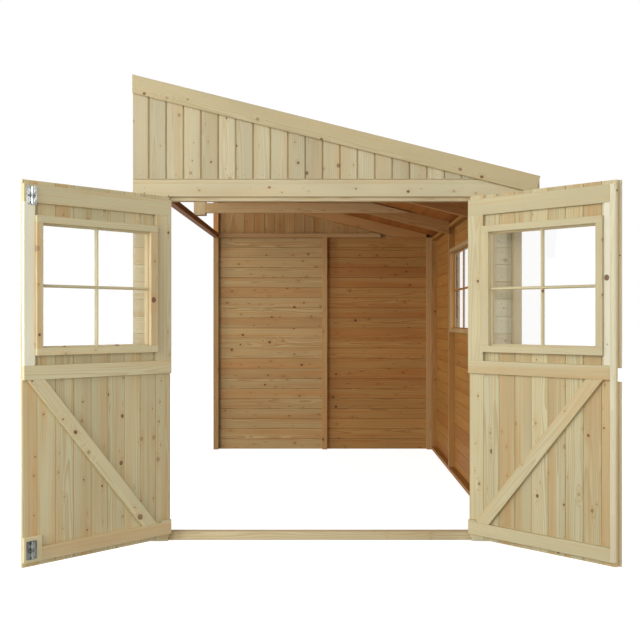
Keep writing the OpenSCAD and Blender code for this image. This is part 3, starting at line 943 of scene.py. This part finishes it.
def border(stack, placing, low, high, widths, thick, amber=0.0):
    """Four battens round an opening, the level ones running over the upright ones.

    widths are those at the low and high ends of the first axis, then of the second.
    """
    (u0, v0), (u1, v1) = low, high
    u_out = (u0 - widths[0], u1 + widths[1])
    for v_low, v_high in ((v0 - widths[2], v0), (v1, v1 + widths[3])):
        eased_box(stack, (u_out[0], v_low, 0), (u_out[1], v_high, thick), 0, amber=amber,
                  placing=placing)
    for u_low, u_high in ((u_out[0], u0), (u1, u_out[1])):
        eased_box(stack, (u_low, v0, 0), (u_high, v1, thick), 1, amber=amber, placing=placing)


frame_lo, frame_hi = span("side_window_frame")
side_low = (glass_lo[1], glass_lo[2])
side_high = (glass_hi[1], glass_hi[2])
window = Stack()
border(window, lay((frame_lo[0], 0, 0), Y, Z, X), side_low, side_high,
       [glass_lo[1] - frame_lo[1]] * 4, frame_hi[0] - frame_lo[0], amber=0.6)
glazing(window, lay((glass_lo[0], 0, 0), Y, Z, -X), side_low, side_high, depth=0.007, bar=0.014,
        bead_depth=0.008, amber=1.0)
glazing(window, lay((glass_hi[0], 0, 0), Y, Z, X), side_low, side_high, depth=0.005, bar=0.014,
        bead_depth=0.005)
piece("side_window_joinery", window, STUDS, "shed", "side_window_frame")

WINDOW_TRIM_W = 0.045
WINDOW_TRIM_T = 0.014
window_trim = Stack()
border(window_trim, lay((SIDE_X, 0, 0), Y, Z, X), side_low, side_high, [WINDOW_TRIM_W] * 4,
       WINDOW_TRIM_T)
piece("side_window_trim", window_trim, TRIM, "shed")

# ---- Roof and its frame ----

timbers("house_side_beam", DARK_RAIL, 1, "house_side_rail", ease=0.002)
timbers("house_side_uprights", ROOF_WOOD, 2, "house_side_posts", amber=0.8)

ledger = Stack()
front_slab(
    ledger,
    [(HOUSE_X, ledger_lo[2]), (HOUSE_INNER_X, ledger_lo[2]), (HOUSE_INNER_X, roof_z(HOUSE_INNER_X)),
     (HOUSE_X, roof_z(HOUSE_X))],
    ledger_lo[1], ledger_hi[1], 0.0, amber=1.0
)
# Its grain runs along its length, square to the outline
ledger.grain = [ledger.grain[0][:, [2, 0, 1]]]
piece("high_ledger_timber", ledger, ROOF_WOOD, "shed", "high_ledger")

rafters = Stack()
for low, high in solids("rafters"):
    foot = roof_z(high[0]) - RAFTER_T
    outline = [(low[0], roof_z(low[0]) - RAFTER_T)]
    if low[2] < WALL_TOP - 0.01:
        outline += [(high[0], foot)]
    else:
        outline += [(SIDE_X - RAFTER_T / ROOF_TAN, WALL_TOP), (high[0], WALL_TOP)]
    outline += [(high[0], roof_z(high[0])), (low[0], roof_z(low[0]))]
    front_slab(rafters, outline, low[1], high[1], -ROOF_ANGLE, amber=0.7)
piece("roof_rafters", rafters, ROOF_WOOD, "shed", "rafters")

# The tie's house end is square, and its other end is cut to the slope of the roof
tie_lo, tie_hi = span("tie_beam")
tie_run = (tie_hi[2] - tie_lo[2]) / ROOF_TAN
tie = [(tie_lo[0], tie_lo[2]), (tie_hi[0], tie_lo[2]), (tie_hi[0] - tie_run, tie_hi[2]),
       (tie_lo[0], tie_hi[2])]
front_timber("roof_tie", ROOF_WOOD, "tie_beam", tie, 0.0, amber=0.2)

# The hanger's head is cut to the rafter's underside and round the ledger
hang_lo, hang_hi = span("hanger_post")
hanger = [(hang_lo[0], hang_lo[2]), (hang_hi[0], hang_lo[2]),
          (hang_hi[0], roof_z(hang_hi[0]) - RAFTER_T),
          (HOUSE_INNER_X, roof_z(HOUSE_INNER_X) - RAFTER_T), (hang_lo[0], hang_hi[2])]
front_timber("tie_hanger", STUDS, "hanger_post", hanger, math.pi / 2, amber=0.2)

deck = Stack()
slope_axis = np.array([math.cos(ROOF_ANGLE), 0, -math.sin(ROOF_ANGLE)])
rise_axis = np.array([math.sin(ROOF_ANGLE), 0, math.cos(ROOF_ANGLE)])
deck_run = (roof_hi[0] - roof_lo[0]) / math.cos(ROOF_ANGLE)
lean_in = BOARD_T * math.tan(ROOF_ANGLE)
deck_origin = np.array([roof_lo[0], 0, roof_hi[2] - BOARD_T / math.cos(ROOF_ANGLE)])
cladding(
    deck, lay(deck_origin, slope_axis, rise_axis, Y), (roof_lo[1], roof_hi[1]),
    (ROOF_GAP, deck_run - lean_in - ROOF_GAP), amber=(1, 0), first=0.07
)
piece("roof_deck", deck, ROOF_DECK, "shed", "roof_boards")

timbers("eave_board", TRIM, 1, "eave_fascia")

# ---- Door leaves ----

FIRST_BOARD = 0.082
LOW_RAIL_BELOW = 0.2
LOW_RAIL_H = 0.064
PAD_W = 0.086
LEAST_PAD_RISE = 0.01
HINGE_BLOCK_W = 0.055
HINGE_BLOCK_H = 0.01
OUTER_BATTEN_W = 0.04
OUTER_BATTEN_T = 0.008
# Painted light: these sticks take tones over 1, painted paler and washed out as if in strong light.
FREE_STILE_TONE = 2.6
EDGE_STRIP_TONE = 2.0
COVER_STRIP_TONE = 1.7
BAR_DEPTH = 0.012
DOOR_VEE = (0.0022, 0.0024)


def leaf_pieces(leaf, placing):
    """The joinery that both leaves share, drawn from the hinge pin of the open leaf."""
    boards_lo, boards_hi = span(leaf + "_boards", placing)
    pane_lo, pane_hi = span(leaf + "_pane", placing)
    opening = (pane_lo[2], pane_hi[2], pane_lo[0], pane_hi[0])
    low = (pane_lo[0], pane_lo[2])
    high = (pane_hi[0], pane_hi[2])

    boards = Stack(placing)
    inner_face = boards_hi[1]
    cladding(
        boards, lay((0, inner_face, 0), X, -Y, Z), (boards_lo[2], boards_hi[2]),
        (boards_lo[0], boards_hi[0]), first=FIRST_BOARD, opening=opening, inner_vee=DOOR_VEE
    )
    piece(leaf + "_cladding", boards, DOOR_BOARDS, leaf, leaf + "_boards")

    # A low rail that is one solid with the pad under a bolt is drawn as two sticks, and a low
    # rail has a small block on it at the hinge end
    rails = Stack(placing)
    for rail_lo, rail_hi in solids(leaf + "_rails", placing):
        low_rail = rail_lo[2] < LOW_RAIL_BELOW
        rail_top = rail_lo[2] + LOW_RAIL_H
        if low_rail and rail_hi[2] > rail_top + LEAST_PAD_RISE:
            pad_lo = np.array([rail_hi[0] - PAD_W, rail_lo[1], rail_lo[2]])
            eased_box(rails, pad_lo, rail_hi, 2)
            rail_hi = np.array([pad_lo[0], rail_hi[1], rail_top])
        eased_box(rails, rail_lo, rail_hi, 0)
        if low_rail:
            block_lo = (rail_lo[0], rail_lo[1], rail_top)
            block_hi = (rail_lo[0] + HINGE_BLOCK_W, rail_hi[1], rail_top + HINGE_BLOCK_H)
            eased_box(rails, block_lo, block_hi, 2)
    piece(leaf + "_rail_timbers", rails, DOOR_WOOD, leaf, leaf + "_rails")

    stiles = Stack(placing)
    for stile_lo, stile_hi in solids(leaf + "_stiles", placing):
        free_side = stile_lo[0] > pane_hi[0]
        stick = toned_stick(FREE_STILE_TONE) if free_side else None
        eased_box(stiles, stile_lo, stile_hi, 2, stick)
    piece(leaf + "_stile_timbers", stiles, DOOR_WOOD, leaf, leaf + "_stiles")

    brace_lo, brace_hi = span(leaf + "_brace", placing)
    corners = seen_from(node_points(leaf + "_brace"), placing)
    foot = corners[corners[:, 2] < brace_lo[2] + 0.001, 0]
    foot_w = foot.max() - foot.min()
    rise = brace_hi[2] - brace_lo[2]
    run = brace_hi[0] - brace_lo[0] - foot_w
    brace = Stack(placing)
    front_slab(
        brace,
        [(brace_lo[0], brace_lo[2]), (brace_lo[0] + foot_w, brace_lo[2]),
         (brace_hi[0], brace_hi[2]), (brace_hi[0] - foot_w, brace_hi[2])],
        brace_lo[1], brace_hi[1], math.atan2(rise, run)
    )
    piece(leaf + "_brace_timber", brace, DOOR_WOOD, leaf, leaf + "_brace")

    around_lo, around_hi = span(leaf + "_surround", placing)
    surround = Stack(placing)
    widths = [pane_lo[0] - around_lo[0], around_hi[0] - pane_hi[0],
              pane_lo[2] - around_lo[2], around_hi[2] - pane_hi[2]]
    border(surround, lay((0, around_lo[1], 0), X, Z, Y), low, high, widths,
           around_hi[1] - around_lo[1])
    piece(leaf + "_window_surround", surround, DOOR_WOOD, leaf, leaf + "_surround")

    bars = Stack(placing)
    glazing(bars, lay((0, pane_hi[1], 0), X, Z, Y), low, high, BAR_DEPTH)
    glazing(bars, lay((0, pane_lo[1], 0), X, Z, -Y), low, high, BAR_DEPTH, bead_depth=0.012)
    border(bars, lay((0, boards_lo[1], 0), X, Z, -Y), low, high, [OUTER_BATTEN_W] * 4,
           OUTER_BATTEN_T)
    piece(leaf + "_window_bars", bars, DOOR_WOOD, leaf)


leaf_pieces("left_door", LEFT_LEAF)
leaf_pieces("right_door", RIGHT_LEAF)

strip = Stack(RIGHT_LEAF)
eased_box(strip, *span("right_door_edge_strip", RIGHT_LEAF), 2, toned_stick(EDGE_STRIP_TONE))
piece("right_door_edge_timber", strip, DOOR_WOOD, "right_door", "right_door_edge_strip")

# The cover strips lap past the leaf's free end, with a rebate behind the lap
COVER_BEVEL = 0.003
COVER_REBATE = 0.005
cover = Stack(RIGHT_LEAF)
right_leaf_lo, right_leaf_hi = span("right_door_boards", RIGHT_LEAF)
face = right_leaf_lo[1]
end = right_leaf_hi[0]
for low, high in solids("right_door_cover_strips", RIGHT_LEAF):
    outline = np.array([
        (low[0], face), (low[0], low[1] + COVER_BEVEL), (low[0] + COVER_BEVEL, low[1]),
        (high[0] - COVER_BEVEL, low[1]), (high[0], low[1] + COVER_BEVEL),
        (high[0], face - COVER_REBATE), (end, face - COVER_REBATE), (end, face)
    ])
    stick = toned_stick(COVER_STRIP_TONE)
    carry(cover, anticlockwise(outline), low[2], high[2], lay((0, 0, 0), X, Y, Z), stick)
piece("right_door_cover_timbers", cover, TRIM, "right_door", "right_door_cover_strips")

# ---- Barrel bolts ----


def arch(width, height, metal, foot):
    """Section of a strap bent over the rod: flat feet, upright sides and a half-round crown."""
    angle = np.linspace(0, np.pi, 9)
    outer = np.column_stack([width / 2 * np.cos(angle), height - width / 2 + width / 2 * np.sin(angle)])
    bore = width / 2 - metal
    inner = np.column_stack([bore * np.cos(angle), height - width / 2 + bore * np.sin(angle)])[::-1]
    return np.concatenate([
        [(foot, 0), (foot, metal), (width / 2, metal)], outer,
        [(-width / 2, metal), (-foot, metal), (-foot, 0), (-bore, 0)], inner, [(bore, 0)]
    ])


BOLT_PLATE_T = 0.0022
BOLT_ROD_R = 0.0052
BOLT_ROD_LIFT = 0.0072
BOLT_ARM_R = 0.0026
BOLT_KNOB_R = 0.0045
BOLT_STRAP_Z = (-0.028, 0.012)
BOLT_STRAP_W = 0.016
BOLT_SCREW_X = (-0.019, 0.019)
BOLT_SCREW_Z = (-0.036, 0.034)
BOLT_SCREW_R = 0.0036


def barrel_bolt(stack, low, high, flip, plate_darkening, rod_darkening):
    """Plate, two bent straps, a rod with its knob, and four screws, on the leaf's inner face."""
    x, _, z = (low + high) / 2
    tail = -1 if flip else 1
    ground = lay((x, low[1], z), tail * X, tail * Z, Y)
    plated = {"from": np.zeros(3), "tone": rod_darkening}
    darkened = {"from": np.zeros(3), "tone": plate_darkening}
    outline = rounded(high[0] - low[0], high[2] - low[2], 0.005)
    eased_slab(stack, outline, BOLT_PLATE_T, ground, 0, darkened, ease=0.0005)
    plate = low[1] + BOLT_PLATE_T
    section = arch(width=0.0155, height=0.0145, metal=0.0018, foot=0.0145)
    for at in BOLT_STRAP_Z:
        carry(stack, section, at, at + BOLT_STRAP_W, lay((x, plate, z), X, Y, tail * Z), plated)
    axis = plate + BOLT_ROD_LIFT
    rod = lay((x, axis, z), X, -tail * Y, tail * Z)
    lathe(stack, rod, np.array([0.7, 1, 1, 0.85]) * BOLT_ROD_R,
          np.array([-0.0415, -0.0395, 0.0385, 0.041]), 16, rod_darkening)
    lathe(stack, facing((x, axis, z), Y), np.array([0.6, 0.6, 1, 1, 0.7]) * BOLT_KNOB_R,
          [0, 0.0062, 0.0075, 0.0105, 0.0118], darkening=plate_darkening)
    lathe(stack, facing((x - 0.016, axis, z), X), np.array([0.8, 1, 1, 0.8]) * BOLT_ARM_R,
          [0, 0.001, 0.031, 0.032], darkening=plate_darkening)
    spots = [(x + dx, plate, z + dz) for dx in BOLT_SCREW_X for dz in BOLT_SCREW_Z]
    screw_heads(stack, spots, Y, BOLT_SCREW_R, plate_darkening)


bolts = Stack(LEFT_LEAF)
low_bolt, high_bolt = solids("left_door_bolts", LEFT_LEAF)
barrel_bolt(bolts, *low_bolt, False, 0.8, 0.6)
barrel_bolt(bolts, *high_bolt, True, 0.5, 0.1)
piece("left_door_barrel_bolts", bolts, ZINC, "left_door", "left_door_bolts")

# ---- Nails and screws ----


NAIL_EDGE = 0.02
GABLE_NAIL_UP = 0.018
HEADER_NAIL_UP = 0.045
BARGE_NAIL_DOWN = (0.022, 0.068)
BARGE_NAIL_PAIRS = 7


def level_rows(top):
    """Heights of two nails in each level board, a quarter of its width from either edge."""
    edges = np.arange(0, top - NAIL_EDGE, BOARD_COVER)
    tops = np.minimum(edges + BOARD_COVER, top)
    return np.concatenate([edges * 0.75 + tops * 0.25, edges * 0.25 + tops * 0.75])


wall_nails = Stack()
wall_rows = level_rows(HEADER_Z)
left_post = (left_hi[0] - STUD / 2, HOUSE_X + STUD / 2)
right_post = (right_lo[0] + STUD / 2, SIDE_FRAME_X - STUD * 1.5)
for x in left_post + right_post:
    nail_heads(wall_nails, row(x, FRONT_Y, wall_rows), -Y)
wall_rows = level_rows(WALL_TOP)
for low, high in solids("back_studs"):
    nail_heads(wall_nails, row((low[0] + high[0]) / 2, BACK_Y, wall_rows), Y)
for low, high in solids("side_wall_studs"):
    y = (low[1] + high[1]) / 2
    if FRONT_Y + 0.1 < y < BACK_Y - 0.1:
        nail_heads(wall_nails, row(SIDE_X, y, wall_rows), X)
header_nails = np.linspace(HOUSE_X + 0.06, CORNER_X - 0.03, 8)
gable_nails = np.arange(HOUSE_X + 0.04, gable_hi[0] - 0.3, GABLE_COVER)
nail_heads(wall_nails, row(gable_nails, FRONT_Y, WALL_TOP + GABLE_NAIL_UP), -Y)
nail_heads(wall_nails, row(header_nails, FRONT_Y, HEADER_Z + HEADER_NAIL_UP), -Y)
nail_heads(wall_nails, row(gable_nails, BACK_Y, WALL_TOP + GABLE_NAIL_UP), Y)
barge_hi = span("front_barge_board")[1]
xs = np.repeat(np.linspace(HOUSE_X + 0.05, barge_hi[0] - 0.12, BARGE_NAIL_PAIRS), 2)
drops = np.tile(BARGE_NAIL_DOWN, BARGE_NAIL_PAIRS)
zs = barge_hi[2] - (xs - HOUSE_X) * ROOF_TAN - drops
nail_heads(wall_nails, row(xs, FRONT_Y - TRIM_T, zs), -Y)
piece("wall_nails", wall_nails, NAILS, "shed")

STRAP_T = 0.004
STRAP_SCREWS = (0.05, 0.11, 0.17, 0.23, 0.29)
STRAP_SCREW_R = 0.0048
PLATE_SCREW_R = 0.0045
LEAST_NAILED = 0.03
NAILED_HEIGHT = 0.08
NAIL_SPREAD = 0.018
NAIL_STAGGER = 0.012


def leaf_fixings(leaf, placing):
    """Screws through the hinge straps, and nails through the boards into the rails."""
    boards_lo, boards_hi = span(leaf + "_boards", placing)
    face = boards_lo[1]
    screws = Stack(placing)
    for low, high in solids(leaf + "_straps", placing):
        spots = [(x, face - STRAP_T, (low[2] + high[2]) / 2) for x in STRAP_SCREWS]
        screw_heads(screws, spots, -Y, STRAP_SCREW_R)
    piece(leaf + "_strap_screws", screws, ZINC, leaf)
    second = boards_lo[0] + FIRST_BOARD + BOARD_COVER / 2
    others = np.arange(second, boards_hi[0] - LEAST_NAILED, BOARD_COVER)
    centres = np.append(boards_lo[0] + FIRST_BOARD / 2, others)
    xs = np.append(centres - NAIL_SPREAD, centres + NAIL_SPREAD)
    stagger = np.repeat([NAIL_STAGGER, -NAIL_STAGGER], len(centres))
    nails = Stack(placing)
    for low, high in solids(leaf + "_rails", placing):
        z = low[2] + min(high[2] - low[2], NAILED_HEIGHT) / 2
        nail_heads(nails, row(xs, face, z + stagger), -Y)
    piece(leaf + "_nails", nails, NAILS, leaf)


leaf_fixings("left_door", LEFT_LEAF)
leaf_fixings("right_door", RIGHT_LEAF)

plate_screws = Stack()
for node, side in (("left_hinge_plates", -1), ("right_hinge_plates", 1)):
    for low, high in solids(node):
        edge = low[0] if side < 0 else high[0]
        middle = (low[2] + high[2]) / 2
        spots = [
            (edge - side * dx, FRONT_Y - STRAP_T, middle + dz)
            for dx in (0.012, 0.034) for dz in (-0.018, 0.018)
        ]
        screw_heads(plate_screws, spots, -Y, PLATE_SCREW_R)
piece("hinge_plate_screws", plate_screws, ZINC, "shed")

# ---- Materials of the CAD nodes that stay in view ----

for finish, nodes in (
    (ZINC, ("left_hinge_plates", "right_hinge_plates", "left_door_straps", "right_door_straps")),
    (CLEAR, ("left_door_pane", "right_door_pane", "side_window_pane")),
):
    for node in nodes:
        mesh = frame["nodes"][node].data
        mesh.materials.clear()
        mesh.materials.append(finish[0])

# ---- Floor, world and lamps ----

FLOOR_REACH = 30.0
FLOOR_DROP = 0.0005
FLOOR_TONE = 0.42
FLOOR_LIFT = 0.88
AMBIENT = 0.35

floor_mesh = bpy.data.meshes.new("floor")
signs = ((-1, -1), (1, -1), (1, 1), (-1, 1))
ground = [(FLOOR_REACH * x, FLOOR_REACH * y, -FLOOR_DROP) for x, y in signs]
floor_mesh.from_pydata(ground, [], [range(4)])
floor = bpy.data.objects.new("floor", floor_mesh)
bpy.context.scene.collection.objects.link(floor)


def shown_directly(tree):
    """1 on rays from the camera, a mirror or a pane, and 0 on the light that falls on things."""
    path = put(tree, "ShaderNodeLightPath").outputs
    seen = maths(tree, "MAXIMUM", path["Is Camera Ray"], path["Is Glossy Ray"])
    return maths(tree, "MAXIMUM", seen, path["Is Transmission Ray"])


floor_material, floor_tree, floor_shader = blank_material("pale_floor")
fill(floor_tree, floor_shader.inputs, {
    "Base Color": (FLOOR_TONE, FLOOR_TONE, FLOOR_TONE, 1.0),
    "Roughness": 0.9,
    "Specular IOR Level": 0.0
})
lift = maths(floor_tree, "MULTIPLY", shown_directly(floor_tree), FLOOR_LIFT)
glow = put(floor_tree, "ShaderNodeEmission", {"Color": WHITE, "Strength": lift})
both = put(floor_tree, "ShaderNodeAddShader", {0: floor_shader.outputs[0], 1: glow.outputs[0]})
floor_tree.links.new(both.outputs[0], floor_tree.nodes["Material Output"].inputs["Surface"])
floor_mesh.materials.append(floor_material)

world = bpy.data.worlds.new("studio")
world.use_nodes = True
world_tree = world.node_tree
strength = maths(world_tree, "MULTIPLY_ADD", shown_directly(world_tree), 1.0 - AMBIENT, AMBIENT)
backdrop = {"Color": WHITE, "Strength": strength}
fill(world_tree, world_tree.nodes["Background"].inputs, backdrop)
bpy.context.scene.world = world


def lamp(name, place, aim, size, watts):
    """A square white soft box at a place, turned to face its aim."""
    data = bpy.data.lights.new(name, "AREA")
    data.shape = "SQUARE"
    data.size = size
    data.energy = watts
    light = bpy.data.objects.new(name, data)
    light.location = place
    x, y, z = np.subtract(aim, place)
    light.rotation_euler = (math.atan2(math.hypot(x, y), -z), 0, math.atan2(-x, y))
    bpy.context.scene.collection.objects.link(light)


lamp("front_soft_box", (-1.0, -8.6, 3.0), (0, 1.0, 1.1), 2.4, 130)
lamp("key_soft_box", (-3.4, -4.8, 4.8), (0, 0.3, 1.4), 3.0, 62)
lamp("left_soft_box", (-4.0, -3.6, 1.8), (0.0, 2.6, 1.0), 3.0, 152)
lamp("across_soft_box", (-6.0, 0.6, 1.8), (0.9, 1.6, 1.1), 2.5, 140)
lamp("right_soft_box", (5.0, -2.6, 1.6), (0.9, 0, 1.2), 1.6, 80)
lamp("back_soft_box", (3.5, 7.5, 5.5), (0, 2.5, 1.2), 4.0, 260)

bpy.context.scene.view_settings.view_transform = "Standard"
